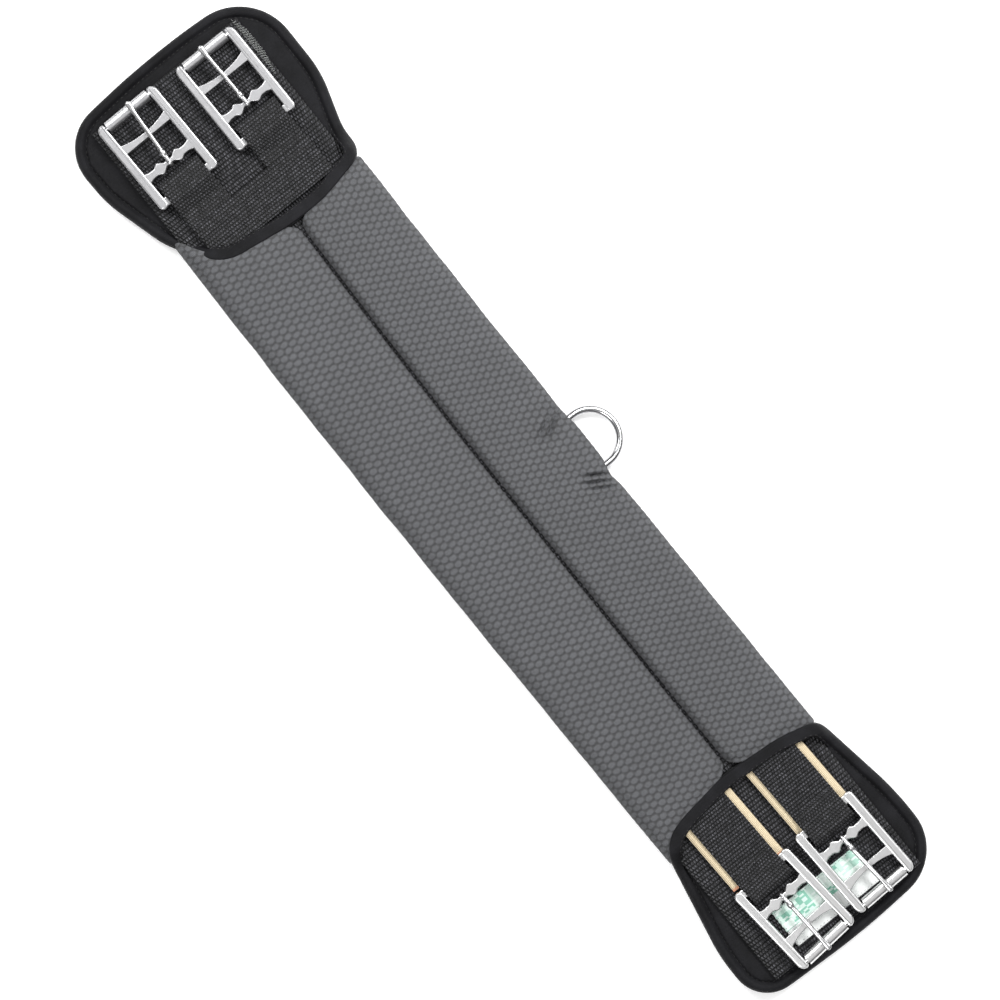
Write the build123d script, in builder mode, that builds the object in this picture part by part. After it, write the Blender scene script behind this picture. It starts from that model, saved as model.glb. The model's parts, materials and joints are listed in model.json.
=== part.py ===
from build123d import *
import os
from math import atan2, cos, hypot, radians, sin, tan

# Saddle girth: a padded body on a strong webbing, a bound pad at each end, and two roller
# buckles on each pad. The plain end's buckles hang on webbing, the other end's on elastic.
# +X runs from the plain end to the elastic end, +Y towards the D-ring, +Z away from the
# horse. The origin is on the underside, at the middle of the body.

os.makedirs("parts", exist_ok=True)

# ---------------------------------------------------------------- driving dimensions, mm
girth_length = 624.4  # outer edge of one end pad to the outer edge of the other
webbing_width = 102.0
plain_pad_length = 124.2
elastic_pad_length = 117.4

# Thicknesses
lining_thickness = 1.5
pad_foam_thickness = 5.8
facing_thickness = 1.3
webbing_thickness = 1.8
cover_thickness = 4.5
cover_corner = 6.0
strap_thickness = 1.2
elastic_thickness = 0.8
patch_thickness = 1.2
label_thickness = 0.2
binding_thickness = 1.4
binding_width = 7.6
binding_height = 10.4

# Places along and across the girth
webbing_start = 15.6  # from the plain pad's outer edge
webbing_end = 10.4  # from the elastic pad's outer edge
slit_width = 1.2
slit_place = 4.0  # the cover's butted edges meet a little to the ring's side
patch_size = (23.0, 81.0)
patch_place = (17.3, 1.5)  # how far short of a strap's width its inner edge lies from the
# pad's inner crown; middle across
patch_margin = 2.8  # patch beyond the ends of the straps
cover_laps = (33.0, 22.0)  # from each pad's inner crown to the furthest corner of the body
bridge_depths = (27.0, 19.0)  # reach of each binding's band back from its inner crown
label_size = (23.5, 58.0)
label_place = (29.0, 0.5)

# Straps
strap_ease = 1.25  # free room in the buckle on each side of a strap
elastic_width = 35.6
elastic_reach = 6.5  # from the pad's inner crown to the sewn end of the elastic
tab_length = 4.5

# Roller buckles
frame_opening = 30.0
frame_arm = 5.5
frame_thickness = 3.2
frame_rounding = 0.6
tail_corner = 4.0
front_corner = 2.4
front_setback = 0.3  # the arms stop this far short of the roller's outer side
frame_tail = 19.0  # tongue bar to the end of the frame behind it
tail_bar_width = 6.0
plain_roller_reach = 35.9  # tongue bar to roller axis
elastic_roller_reach = 34.3
middle_bar_place = 17.6  # its near side, from the tongue bar
middle_bar_width = 3.3
middle_bar_root = 5.8
tongue_bar_width = 4.8
bulge_width = 7.6
bulge_place = 6.2
bar_rounding = 0.9
bar_flare = 1.2  # widening of the tongue bar where it meets the arms
waist_radius = 1.45
waist_land = 0.3  # the waist's flat flank, outside its round part
roller_radius = 3.3
roller_end_gap = 0.7
wire_radius = 1.2
eye_wall = 2.2
eye_width = 2.6
loop_slack = 5.1  # free room in the strap's loop beyond the tail bar
plain_neck = 8.5  # strap between the frame's tail and its fold line
elastic_neck = 3.8
tongue_overhang = 1.0
tip_rounding = 0.84

# D-ring on the edge of the body
ring_wire = 4.0
ring_reach = 16.4  # middle of the ring to the middle of its wire, along X
ring_leg = 5.6
ring_corner = 3.0
ring_place = (5.8, 2.7)  # along the girth; in from the edge of the body
ring_droop = 14.0
ring_swing = 30.0  # from level, each way
ring_tab_width = 25.0
ring_tab_wall = 1.1
ring_tab_length = 25.0

# Clearances
layer_gap = 0.2
label_gap = 0.05
edge_gap = 0.5
seam_gap = 0.3
running_gap = 0.06
ring_room_gap = 0.6
overlap = 1.0  # depth by which joined shapes and cutters run into each other

# ---------------------------------------------------------------- heights and places
webbing_z = lining_thickness + pad_foam_thickness + facing_thickness + 3 * layer_gap
webbing_top = webbing_z + webbing_thickness
strap_z = webbing_top + layer_gap
double_strap = 2 * strap_thickness
patch_z = strap_z + double_strap + layer_gap
elastic_z = strap_z + strap_thickness + layer_gap
elastic_stack = 2 * strap_thickness + elastic_thickness + 2 * layer_gap
bridge_z = max(patch_z + patch_thickness, strap_z + elastic_stack) + layer_gap
bridge_top = bridge_z + binding_thickness
cover_top = strap_z + cover_thickness

strap_width = frame_opening - 2 * strap_ease
frame_width = frame_opening + 2 * frame_arm
eye_bore = waist_radius + running_gap
eye_radius = eye_bore + eye_wall
bar_z = strap_z + max(eye_radius, roller_radius) + layer_gap / 2

webbing_half = webbing_width / 2
cavity_half = webbing_half + edge_gap
body_half = cavity_half + cover_thickness
end_x = girth_length / 2

# Each pad's outline: distance inboard, place across, and corner radius. Outer points are
# measured from the pad's outer edge, inner ones back from its inner crown, and every
# place across from the edge of the body.
plain_outer = [
    (5.5, -body_half - 12.3, 27),
    (0.0, 2.0, 400),
    (4.5, body_half + 15.2, 34),
    (66.0, body_half + 14.6, 60),
]
plain_inner = [
    (24.7, body_half + 4.2, 25),
    (7.0, body_half + 4.5, 11),
    (0.0, body_half - 29.0, 50),
    (0.8, 2.0, 60),
    (5.1, 29.0 - body_half, 40),
    (7.7, 17.4 - body_half, 22),
    (36.0, -body_half - 0.8, 40),
    (74.2, -body_half - 11.3, 60),
]
elastic_outer = [
    (3.0, -body_half - 10.3, 21),
    (0.0, 5.0, 400),
    (3.7, body_half + 11.0, 30),
    (50.2, body_half + 11.2, 150),
]
elastic_inner = [
    (9.0, body_half + 2.3, 10),
    (2.8, body_half - 22.0, 50),
    (0.0, -2.0, 60),
    (4.2, 22.0 - body_half, 50),
    (9.7, 4.0 - body_half, 20),
    (77.2, -body_half - 10.0, 90),
]
plain_end = (-1, plain_pad_length, plain_outer, plain_inner)
elastic_end = (1, elastic_pad_length, elastic_outer, elastic_inner)


def keep(build, name):
    """Label one finished piece and write it."""
    build.part.label = name
    export_step(build.part, f"parts/{name}.step")


def pad_face(end, grow, height=0):
    """Flat outline of an end pad, moved outwards by grow, lying at a height."""
    side, length, outer, inner = end
    points = [(side * (end_x - d), y) for d, y, radius in outer]
    points += [(side * (end_x - length + d), y) for d, y, radius in inner]
    radii = [radius for d, y, radius in outer + inner]
    with BuildSketch(Plane.XY.offset(height)) as outline:
        with BuildLine():
            FilletPolyline(*points, radius=radii, close=True)
        make_face()
        if grow:
            offset(amount=grow, mode=Mode.REPLACE)
    return outline.sketch


def block(low, high, mode=Mode.ADD):
    """Rectangular block between two corners."""
    size = [b - a for a, b in zip(low, high)]
    middle = [(a + b) / 2 for a, b in zip(low, high)]
    with Locations(tuple(middle)):
        Box(*size, mode=mode)


# ---------------------------------------------------------------- end pads
def pad_layer(name, end, bottom, thickness):
    """One flat layer of a pad, inside its binding."""
    with BuildPart() as layer:
        extrude(pad_face(end, -binding_width - layer_gap, bottom), amount=thickness)
    keep(layer, name)


def pad_binding(name, end, bridge_depth):
    """Rolled edge of a pad, which bridges the webbing and straps at the inner end."""
    side, length = end[:2]
    bridge_start = length - bridge_depth
    with BuildPart() as binding:
        with BuildSketch():
            add(pad_face(end, 0))
            add(pad_face(end, -binding_width), mode=Mode.SUBTRACT)
        extrude(amount=binding_height)
        with BuildSketch():
            add(pad_face(end, 0))
            add(pad_face(end, -binding_width), mode=Mode.SUBTRACT)
            with Locations((side * (end_x - bridge_start - end_x / 2), 0)):
                Rectangle(end_x, 4 * body_half, mode=Mode.INTERSECT)
        extrude(amount=bridge_top)
        block(
            (-end_x, -webbing_half - seam_gap, webbing_z - layer_gap),
            (end_x, webbing_half + seam_gap, bridge_z),
            Mode.SUBTRACT,
        )
    keep(binding, name)


for name, end, bridge_depth in (
    ("plain", plain_end, bridge_depths[0]),
    ("elastic", elastic_end, bridge_depths[1]),
):
    foam_z = lining_thickness + layer_gap
    facing_z = foam_z + pad_foam_thickness + layer_gap
    pad_layer(f"{name}_pad_lining", end, 0, lining_thickness)
    pad_layer(f"{name}_pad_foam", end, foam_z, pad_foam_thickness)
    pad_layer(f"{name}_pad_facing", end, facing_z, facing_thickness)
    pad_binding(f"{name}_pad_binding", end, bridge_depth)


# ---------------------------------------------------------------- body
plain_crown = -end_x + plain_pad_length
elastic_crown = end_x - elastic_pad_length
body_start = plain_crown - cover_laps[0]
body_end = elastic_crown + cover_laps[1]
ring_x, ring_y = ring_place[0], body_half - ring_place[1]
ring_radius = ring_wire / 2
tab_radius = ring_radius + running_gap + ring_tab_wall
ring_z = webbing_z - layer_gap - ring_tab_wall
ring_room = ring_reach + ring_radius + ring_room_gap
side_depth = body_half - ring_y
swing = radians(ring_swing)
slot_half = side_depth * tan(swing) + ring_radius / cos(swing) + seam_gap


def cut_to_pads(bottom, height):
    """Trim the ends of the body's pieces to the inner outlines of the pads."""
    for end in (plain_end, elastic_end):
        extrude(pad_face(end, seam_gap, bottom), amount=height, mode=Mode.SUBTRACT)


# Neoprene cover, wrapped right round the webbing, its edges butted on the outer side
with BuildPart() as cover:
    with BuildSketch(Plane.YZ.offset(body_start)):
        with Locations((0, cover_top / 2)):
            RectangleRounded(2 * body_half, cover_top, cover_corner)
        with Locations((0, (cover_thickness + strap_z) / 2)):
            Rectangle(2 * cavity_half, strap_z - cover_thickness, mode=Mode.SUBTRACT)
        with Locations((slit_place, cover_top)):
            Rectangle(slit_width, 2 * cover_thickness, mode=Mode.SUBTRACT)
    extrude(amount=body_end - body_start)
    block(
        (body_start, slit_place - slit_width / 2, strap_z - layer_gap),
        (body_end, slit_place + slit_width / 2, cover_top),
        Mode.SUBTRACT,
    )
    cut_to_pads(-overlap, cover_top + 2 * overlap)
    block(
        (ring_x - ring_room, cavity_half - edge_gap, ring_z - slot_half),
        (ring_x + ring_room, body_half + overlap, ring_z + slot_half),
        Mode.SUBTRACT,
    )
keep(cover, "outer_cover")

# Foam core between the cover and the webbing, with a pocket for the ring's tab
core_z = cover_thickness + layer_gap
core_half = cavity_half - seam_gap
with BuildPart() as core:
    block(
        (body_start, -core_half, core_z),
        (body_end, core_half, webbing_z - layer_gap),
    )
    cut_to_pads(0, cover_top)
    block(
        (ring_x - ring_room, ring_y - tab_radius - seam_gap, 0),
        (ring_x + ring_room, body_half, cover_top),
        Mode.SUBTRACT,
    )
    block(
        (
            ring_x - ring_tab_width / 2 - seam_gap,
            ring_y - ring_tab_length - seam_gap,
            ring_z - ring_tab_wall - seam_gap,
        ),
        (ring_x + ring_tab_width / 2 + seam_gap, body_half, cover_top),
        Mode.SUBTRACT,
    )
keep(core, "foam_core")

# Strong webbing from end to end, notched for the ring's tab
with BuildPart() as webbing:
    block(
        (-end_x + webbing_start, -webbing_half, webbing_z),
        (end_x - webbing_end, webbing_half, webbing_top),
    )
    block(
        (ring_x - ring_room, ring_y - tab_radius - seam_gap, webbing_z - overlap),
        (ring_x + ring_room, body_half, strap_z),
        Mode.SUBTRACT,
    )
keep(webbing, "main_webbing")

# Blank woven label on the webbing of the elastic end
with BuildPart() as label:
    label_x = end_x - label_place[0]
    label_half = (label_size[0] / 2, label_size[1] / 2)
    label_z = webbing_top + label_gap
    block(
        (label_x - label_half[0], label_place[1] - label_half[1], label_z),
        (label_x + label_half[0], label_place[1] + label_half[1], label_z + label_thickness),
    )
keep(label, "woven_label")


# ---------------------------------------------------------------- D-ring
with BuildPart() as ring_tab:
    with BuildSketch(Plane.YZ.offset(ring_x)):
        with Locations((ring_y, ring_z)):
            Circle(tab_radius)
        with Locations((ring_y - ring_tab_length / 2, ring_z)):
            Rectangle(ring_tab_length, 2 * ring_tab_wall)
        with Locations((ring_y, ring_z)):
            Circle(ring_radius + running_gap, mode=Mode.SUBTRACT)
    extrude(amount=ring_tab_width / 2, both=True)
keep(ring_tab, "d_ring_tab")

droop = radians(ring_droop)
ring_plane = Plane(
    origin=(ring_x, ring_y, ring_z), x_dir=(1, 0, 0), z_dir=(0, sin(droop), cos(droop))
)
with BuildPart() as d_ring:
    with BuildLine(ring_plane) as ring_path:
        bar = Line((0, 0), (ring_reach - ring_corner, 0))
        bend = RadiusArc(bar @ 1, (ring_reach, ring_corner), -ring_corner)
        leg = Line(bend @ 1, (ring_reach, ring_leg))
        bow = RadiusArc(leg @ 1, (0, ring_leg + ring_reach), -ring_reach)
    with BuildSketch(Plane(origin=ring_path.line @ 0, z_dir=ring_path.line % 0)):
        Circle(ring_radius)
    sweep(path=ring_path.line)
    mirror(about=Plane.YZ.offset(ring_x))
keep(d_ring, "d_ring")


# ---------------------------------------------------------------- buckles
def side_plane(seat):
    """Upright plane through a buckle's middle: outwards, then up."""
    return Plane(origin=seat.origin, x_dir=seat.x_dir, z_dir=-seat.y_dir)


def buckle_frame(name, seat, roller_reach):
    """Cast frame: two arms, tail bar, waisted tongue bar, middle bar and roller pin."""
    front = roller_reach + roller_radius - front_setback
    half, opening = frame_width / 2, frame_opening / 2
    bar_half, bulge_half = tongue_bar_width / 2, bulge_width / 2
    root = opening + overlap / 2
    flank = waist_radius + waist_land
    tail_inner = tail_bar_width - frame_tail
    with BuildPart() as frame:
        with BuildSketch(seat.offset(-frame_thickness / 2)) as plan:
            with Locations(((front - frame_tail) / 2, 0)):
                Rectangle(front + frame_tail, frame_width)
            corners = plan.vertices().group_by(Axis(seat.origin, seat.x_dir))
            fillet(corners[0], tail_corner)
            fillet(corners[-1], front_corner)
            with Locations(((front + tail_inner + overlap) / 2, 0)):
                Rectangle(front - tail_inner + overlap, frame_opening, mode=Mode.SUBTRACT)
            with BuildLine():
                near = middle_bar_place
                far = near + middle_bar_root
                Polyline((far, -root), (near, -root), (near, root), (far, root))
                ThreePointArc((far, root), (near + middle_bar_width, 0), (far, -root))
            make_face()
            with BuildLine():
                edge = FilletPolyline(
                    (bar_half + bar_flare, root),
                    (bar_half, opening - 2 * bar_flare),
                    (bar_half, bulge_place + 2 * bar_flare),
                    (bulge_half, bulge_place),
                    (flank, eye_width / 2 + bar_flare),
                    (flank, 0),
                    radius=bar_rounding,
                )
                mirror(edge, about=Plane.XZ)
                mirror(about=Plane.YZ)
                for v in (root, -root):
                    Line((bar_half + bar_flare, v), (-bar_half - bar_flare, v))
            make_face()
        extrude(amount=frame_thickness)
        flats = frame.faces().filter_by(Axis.Z)
        fillet(flats.edges(), frame_rounding)
        with Locations(seat):
            Box(frame_opening / 2, eye_width + 2 * seam_gap, frame_thickness, mode=Mode.SUBTRACT)
        with BuildSketch(side_plane(seat)):
            Circle(waist_radius)
        extrude(amount=eye_width / 2 + overlap, both=True)
        with BuildSketch(side_plane(seat)):
            with Locations((roller_reach, 0)):
                Circle(frame_thickness / 2)
        extrude(amount=opening + overlap, both=True)
    keep(frame, name)


def buckle_roller(name, seat, roller_reach):
    """Tube that turns on the frame's front pin."""
    with BuildPart() as roller:
        with BuildSketch(side_plane(seat)):
            with Locations((roller_reach, 0)):
                Circle(roller_radius)
                Circle(frame_thickness / 2 + running_gap, mode=Mode.SUBTRACT)
        extrude(amount=frame_opening / 2 - roller_end_gap, both=True)
    keep(roller, name)


def buckle_tongue(name, seat, roller_reach, yaw):
    """Wire tongue: an eye on the waisted bar and a shank that rests on the roller."""
    start = eye_radius - wire_radius
    rise = roller_radius + wire_radius + running_gap - start
    length = hypot(roller_reach, rise) + roller_radius + tongue_overhang
    slope = atan2(rise, roller_reach)
    turned = seat.rotated((0, 0, yaw))
    foot = seat.from_local_coords(Vector(0, 0, start))
    shank_dir = turned.x_dir * cos(slope) + turned.z_dir * sin(slope)
    with BuildPart() as tongue:
        with BuildSketch(side_plane(seat)):
            Circle(eye_radius)
        extrude(amount=eye_width / 2, both=True)
        with BuildSketch(Plane(origin=foot, z_dir=shank_dir)):
            Circle(wire_radius)
        extrude(amount=length)
        tip = tongue.faces().sort_by(Axis(seat.origin, seat.x_dir))[-1]
        fillet(tip.edges(), tip_rounding)
        with BuildSketch(side_plane(seat)):
            Circle(eye_bore)
        extrude(amount=eye_width, both=True, mode=Mode.SUBTRACT)
    keep(tongue, name)


def buckle_loop(name, seat, neck, fold_z):
    """Strap looped round the frame's tail bar, drawn together to a rounded fold line."""
    inner = frame_thickness / 2 + seam_gap
    outer = inner + strap_thickness
    fold = loop_slack - frame_tail + tail_bar_width - inner
    seam = -frame_tail - seam_gap
    knee = seam - strap_thickness
    line_u, line_z = -frame_tail - neck, fold_z - seat.origin.Z
    with BuildPart() as loop:
        with BuildSketch(side_plane(seat)):
            with BuildLine():
                Polyline((fold, outer), (knee, outer), (line_u, line_z + strap_thickness))
                ThreePointArc(
                    (line_u, line_z + strap_thickness),
                    (line_u - strap_thickness, line_z),
                    (line_u, line_z - strap_thickness),
                )
                Polyline((line_u, line_z - strap_thickness), (knee, -outer), (fold, -outer))
                ThreePointArc((fold, -outer), (fold + outer, 0), (fold, outer))
            make_face()
            with BuildLine():
                Polyline((fold, inner), (seam, inner), (seam, -inner), (fold, -inner))
                ThreePointArc((fold, -inner), (fold + inner, 0), (fold, inner))
            make_face(mode=Mode.SUBTRACT)
        extrude(amount=strap_width / 2, both=True)
    keep(loop, name)


def buckle_seat(x, y, side, turn):
    """Plane at the middle of a tongue bar, its x towards the roller."""
    heading = radians(turn)
    return Plane(
        origin=(side * x, y, bar_z),
        x_dir=(side * cos(heading), side * sin(heading), 0),
        z_dir=(0, 0, 1),
    )


# Each buckle: name, tongue bar's distance from the pad's outer edge, place across of the
# arm nearer the other buckle, how far the buckle lies turned, and how far its tongue lies
# turned in the frame.
plain_buckles = (
    ("upper", 55.7, 7.1, 0.0, 1.3),
    ("lower", 54.2, -5.3, 0.6, -4.2),
)
elastic_buckles = (
    ("upper", 47.7, 7.2, 1.8, 2.6),
    ("lower", 44.2, 2.6, 4.5, -1.4),
)
half_frames = {"upper": frame_width / 2, "lower": -frame_width / 2}
# Straps sewn to the webbing, under the patch or on the elastic
plain_strap_z = strap_z + strap_thickness
elastic_strap_z = strap_z + elastic_stack / 2
nose = strap_thickness + seam_gap
patch_x = plain_crown - strap_width + patch_place[0]
strap_end = patch_x - patch_margin

for place, inset, near_arm, turn, yaw in plain_buckles:
    seat = buckle_seat(end_x - inset, near_arm + half_frames[place], -1, turn)
    buckle_frame(f"plain_{place}_buckle_frame", seat, plain_roller_reach)
    buckle_roller(f"plain_{place}_buckle_roller", seat, plain_roller_reach)
    buckle_tongue(f"plain_{place}_buckle_tongue", seat, plain_roller_reach, yaw)
    buckle_loop(f"plain_{place}_strap_loop", seat, plain_neck, plain_strap_z)
    fold_x, fold_y, fold_z = seat.from_local_coords(Vector(-frame_tail - plain_neck, 0, 0))
    strap_start = fold_x + nose + strap_width / 2 * sin(radians(turn))
    with BuildPart() as strap:
        block(
            (strap_start, fold_y - strap_width / 2, strap_z),
            (strap_end, fold_y + strap_width / 2, strap_z + double_strap),
        )
    keep(strap, f"plain_{place}_strap")

for place, inset, near_arm, turn, yaw in elastic_buckles:
    seat = buckle_seat(end_x - inset, near_arm + half_frames[place], 1, turn)
    buckle_frame(f"elastic_{place}_buckle_frame", seat, elastic_roller_reach)
    buckle_roller(f"elastic_{place}_buckle_roller", seat, elastic_roller_reach)
    buckle_tongue(f"elastic_{place}_buckle_tongue", seat, elastic_roller_reach, yaw)
    buckle_loop(f"elastic_{place}_strap_loop", seat, elastic_neck, elastic_strap_z)
    fold_x, fold_y, fold_z = seat.from_local_coords(Vector(-frame_tail - elastic_neck, 0, 0))
    elastic_start = elastic_crown + elastic_reach
    with BuildPart() as tab:
        with BuildSketch(side_plane(seat)):
            tab_u = -frame_tail - elastic_neck - nose - tab_length / 2
            with Locations((tab_u, elastic_strap_z - bar_z)):
                Rectangle(tab_length, double_strap)
        extrude(amount=strap_width / 2, both=True)
    keep(tab, f"elastic_{place}_strap_tab")
    skew = elastic_width / 2 * sin(radians(turn))
    tab_end = fold_x - nose - tab_length - skew
    # black webbing above and below the elastic, closed round its sewn end
    with BuildPart() as strap:
        block(
            (elastic_start, fold_y - strap_width / 2, strap_z),
            (tab_end - seam_gap, fold_y + strap_width / 2, strap_z + elastic_stack),
        )
        block(
            (elastic_start + strap_thickness, fold_y - strap_width, strap_z + strap_thickness),
            (tab_end, fold_y + strap_width,
             strap_z + elastic_stack - strap_thickness),
            Mode.SUBTRACT,
        )
    keep(strap, f"elastic_{place}_strap")
    with BuildPart() as band:
        block(
            (elastic_start + strap_thickness + layer_gap, fold_y - elastic_width / 2,
             elastic_z),
            (tab_end - seam_gap, fold_y + elastic_width / 2, elastic_z + elastic_thickness),
        )
    keep(band, f"elastic_{place}_band")

# Patch that covers the sewn ends of both plain straps
with BuildPart() as patch:
    patch_half = patch_size[1] / 2
    block(
        (patch_x - patch_size[0], patch_place[1] - patch_half, patch_z),
        (patch_x, patch_place[1] + patch_half, patch_z + patch_thickness),
    )
keep(patch, "plain_strap_patch")
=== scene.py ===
import bpy
import bmesh
import json
import math
from mathutils import Matrix, Vector, noise
from mathutils.bvhtree import BVHTree
from random import Random

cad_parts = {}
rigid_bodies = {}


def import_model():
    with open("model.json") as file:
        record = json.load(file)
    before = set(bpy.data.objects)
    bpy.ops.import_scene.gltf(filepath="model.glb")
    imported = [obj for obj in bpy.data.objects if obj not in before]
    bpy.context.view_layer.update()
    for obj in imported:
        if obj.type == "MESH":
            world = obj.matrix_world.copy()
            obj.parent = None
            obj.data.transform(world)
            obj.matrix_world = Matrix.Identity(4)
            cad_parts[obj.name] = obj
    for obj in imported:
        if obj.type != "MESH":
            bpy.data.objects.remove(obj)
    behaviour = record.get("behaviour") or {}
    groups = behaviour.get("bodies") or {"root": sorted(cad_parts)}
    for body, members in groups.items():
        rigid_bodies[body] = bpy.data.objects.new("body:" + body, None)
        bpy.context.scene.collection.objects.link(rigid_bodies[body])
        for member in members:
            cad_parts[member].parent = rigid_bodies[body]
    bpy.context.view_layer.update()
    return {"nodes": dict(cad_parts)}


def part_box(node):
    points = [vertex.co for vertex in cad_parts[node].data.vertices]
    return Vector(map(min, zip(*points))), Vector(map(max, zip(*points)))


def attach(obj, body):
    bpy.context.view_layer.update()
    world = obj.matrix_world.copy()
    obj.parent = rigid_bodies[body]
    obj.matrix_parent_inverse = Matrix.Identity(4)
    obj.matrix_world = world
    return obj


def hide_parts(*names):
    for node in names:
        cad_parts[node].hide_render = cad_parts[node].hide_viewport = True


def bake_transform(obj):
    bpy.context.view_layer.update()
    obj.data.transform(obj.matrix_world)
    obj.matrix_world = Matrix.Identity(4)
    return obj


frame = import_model()

# ---------------------------------------------------------------- studio
# Plain pale floor just under the girth, soft light from all round with a little more from
# the ring's side, and a camera that looks straight down on the outer face.
MM = 0.001
floor_half = 3.0
floor_drop = 0.4 * MM
scene = bpy.context.scene


class Shade:
    """One value inside a material; sums and products of values add their own nodes."""

    def __init__(self, material, socket=None):
        self.material = material
        self.socket = socket

    def node(self, kind, inputs=(), out=0, **settings):
        """Any other node, from its kind, its settings and what its sockets are given."""
        made = self.material.node_tree.nodes.new("ShaderNode" + kind)
        for key, value in settings.items():
            setattr(made, key, value)
        for key, value in dict(inputs).items():
            if isinstance(value, Shade):
                self.material.node_tree.links.new(value.socket, made.inputs[key])
            else:
                made.inputs[key].default_value = value
        return Shade(self.material, made.outputs[out])

    def math(self, operation, *given):
        return self.node("Math", enumerate(given), operation=operation)

    def __add__(self, other):
        return self.math("ADD", self, other)

    __radd__ = __add__

    def __sub__(self, other):
        return self.math("SUBTRACT", self, other)

    def __mul__(self, other):
        return self.math("MULTIPLY", self, other)

    __rmul__ = __mul__

    def __truediv__(self, other):
        return self.math("DIVIDE", self, other)

    def power(self, other):
        return self.math("POWER", self, other)

    def cosine(self):
        return self.math("COSINE", self)

    def sine(self):
        return self.math("SINE", self)

    def absolute(self):
        return self.math("ABSOLUTE", self)

    def floor(self):
        return self.math("FLOOR", self)

    def smooth(self, low, high):
        """0 below low, 1 above high, and a smooth turn between them."""
        return self.node(
            "MapRange",
            {"Value": self, "From Min": low, "From Max": high},
            interpolation_type="SMOOTHSTEP",
        )

    def places(self, uv=None):
        """The three numbers of a point: on the object, or on its own UV map."""
        if uv:
            point = self.node("UVMap", uv_map=uv)
        else:
            point = self.node("TexCoord", out=3)
        split = self.node("SeparateXYZ", {0: point})
        outs = split.socket.node.outputs
        return point, [Shade(self.material, out) for out in outs]

    def grain(self, point, scale, detail=3.0, rough=0.55):
        """Soft random grain from 0 to 1."""
        wants = {"Vector": point, "Scale": scale, "Detail": detail, "Roughness": rough}
        return self.node("TexNoise", wants)

    def tint(self, mask, low, high):
        """Colour low where the mask is 0, high where it is 1."""
        return self.node(
            "Mix", {0: mask, 6: low, 7: high}, out=2, data_type="RGBA"
        )

    def bump(self, height, strength, distance):
        """A surface normal that follows the height."""
        return self.node("Bump", {"Height": height, "Strength": strength, "Distance": distance})


def new_finish(name):
    """An empty material and its first Shade."""
    material = bpy.data.materials.new(name)
    material.use_nodes = True
    return material, Shade(material)


def set_surface(material, **inputs):
    """Set or link the sockets of the material's surface, named in words."""
    shader = material.node_tree.nodes["Principled BSDF"]
    for key, value in inputs.items():
        socket = shader.inputs[key.replace("_", " ").title().replace("Ior", "IOR")]
        if isinstance(value, Shade):
            material.node_tree.links.new(value.socket, socket)
        else:
            socket.default_value = value


def grey(level):
    return (level, level, level, 1.0)


floor_bm = bmesh.new()
bmesh.ops.create_grid(floor_bm, x_segments=1, y_segments=1, size=floor_half)
bmesh.ops.translate(floor_bm, verts=floor_bm.verts, vec=(0, 0, -floor_drop))
floor_mesh = bpy.data.meshes.new("floor")
floor_bm.to_mesh(floor_mesh)
floor_bm.free()
floor = bpy.data.objects.new("floor", floor_mesh)
scene.collection.objects.link(floor)
floor_finish, _ = new_finish("floor_paper")
set_surface(floor_finish, base_color=grey(0.93), roughness=0.9, emission_color=grey(1.0),
            emission_strength=0.22)
floor_mesh.materials.append(floor_finish)

world = bpy.data.worlds.new("studio")
world.use_nodes = True
scene.world = world
scene.view_settings.view_transform = "Standard"
sky = world.node_tree.nodes["Background"]
sky.inputs[1].default_value = 0.8
heights = world.node_tree.nodes.new("ShaderNodeTexCoord")
height = world.node_tree.nodes.new("ShaderNodeSeparateXYZ")
ramp = world.node_tree.nodes.new("ShaderNodeValToRGB")
world.node_tree.links.new(heights.outputs["Generated"], height.inputs[0])
world.node_tree.links.new(height.outputs[2], ramp.inputs[0])
world.node_tree.links.new(ramp.outputs[0], sky.inputs[0])
stops = ramp.color_ramp.elements
for place, level in ((0.0, 0.06), (0.5, 0.10), (0.72, 0.9), (0.9, 0.8), (1.0, 0.62)):
    stop = stops[0] if place == 0 else stops[-1] if place == 1 else stops.new(place)
    stop.color = grey(level)


def soft_light(name, place, aim, size, power):
    """A wide lamp at a place, turned towards what it is aimed at."""
    lamp = bpy.data.lights.new(name, "AREA")
    lamp.shape = "RECTANGLE"
    lamp.size, lamp.size_y = size
    lamp.energy = power
    stand = bpy.data.objects.new(name, lamp)
    stand.location = place
    stand.rotation_euler = (Vector(aim) - Vector(place)).to_track_quat("-Z", "Y").to_euler()
    scene.collection.objects.link(stand)


soft_light("key", (-0.3, 1.05, 1.2), (0, 0, 0), (0.9, 0.5), 34.0)
soft_light("fill", (0.5, -0.9, 1.4), (0, 0, 0), (0.8, 0.8), 13.0)
soft_light("end", (-1.1, -0.1, 0.9), (-0.2, 0, 0), (0.35, 0.9), 9.0)

view_turn = math.radians(51.0)
view_width = 0.550
view_height = 2.5
camera = bpy.data.cameras.new("camera")
camera.lens = camera.sensor_width * view_height / view_width
camera_stand = bpy.data.objects.new("camera", camera)
camera_stand.location = (0.0008, -0.0016, view_height + 0.012)
camera_stand.rotation_euler = (0, 0, view_turn)
scene.collection.objects.link(camera_stand)
scene.camera = camera_stand

# ---------------------------------------------------------------- end pads
# Each end of the girth lies on a pad of sponge between two smooth jersey faces. A stretch
# binding is rolled round its edge and sewn down, and at the inner end it widens into a
# flat band that crosses over the webbing and the straps.
binding_width = 7.6 * MM
bead_height = 10.4 * MM
bridge_height = 16.7 * MM
binding_rings = 11
band_foot = 11.3 * MM
lip_over, lip_under = 1.9 * MM, 3.4 * MM
zone_back, zone_side = (15.0, 27.0), (53.5, 59.5)
facing_level, lining_level = 8.6 * MM, 0.6 * MM
face_inset = 6.9 * MM
face_grid = 5 * MM
jersey_thick = 1.1 * MM

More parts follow.
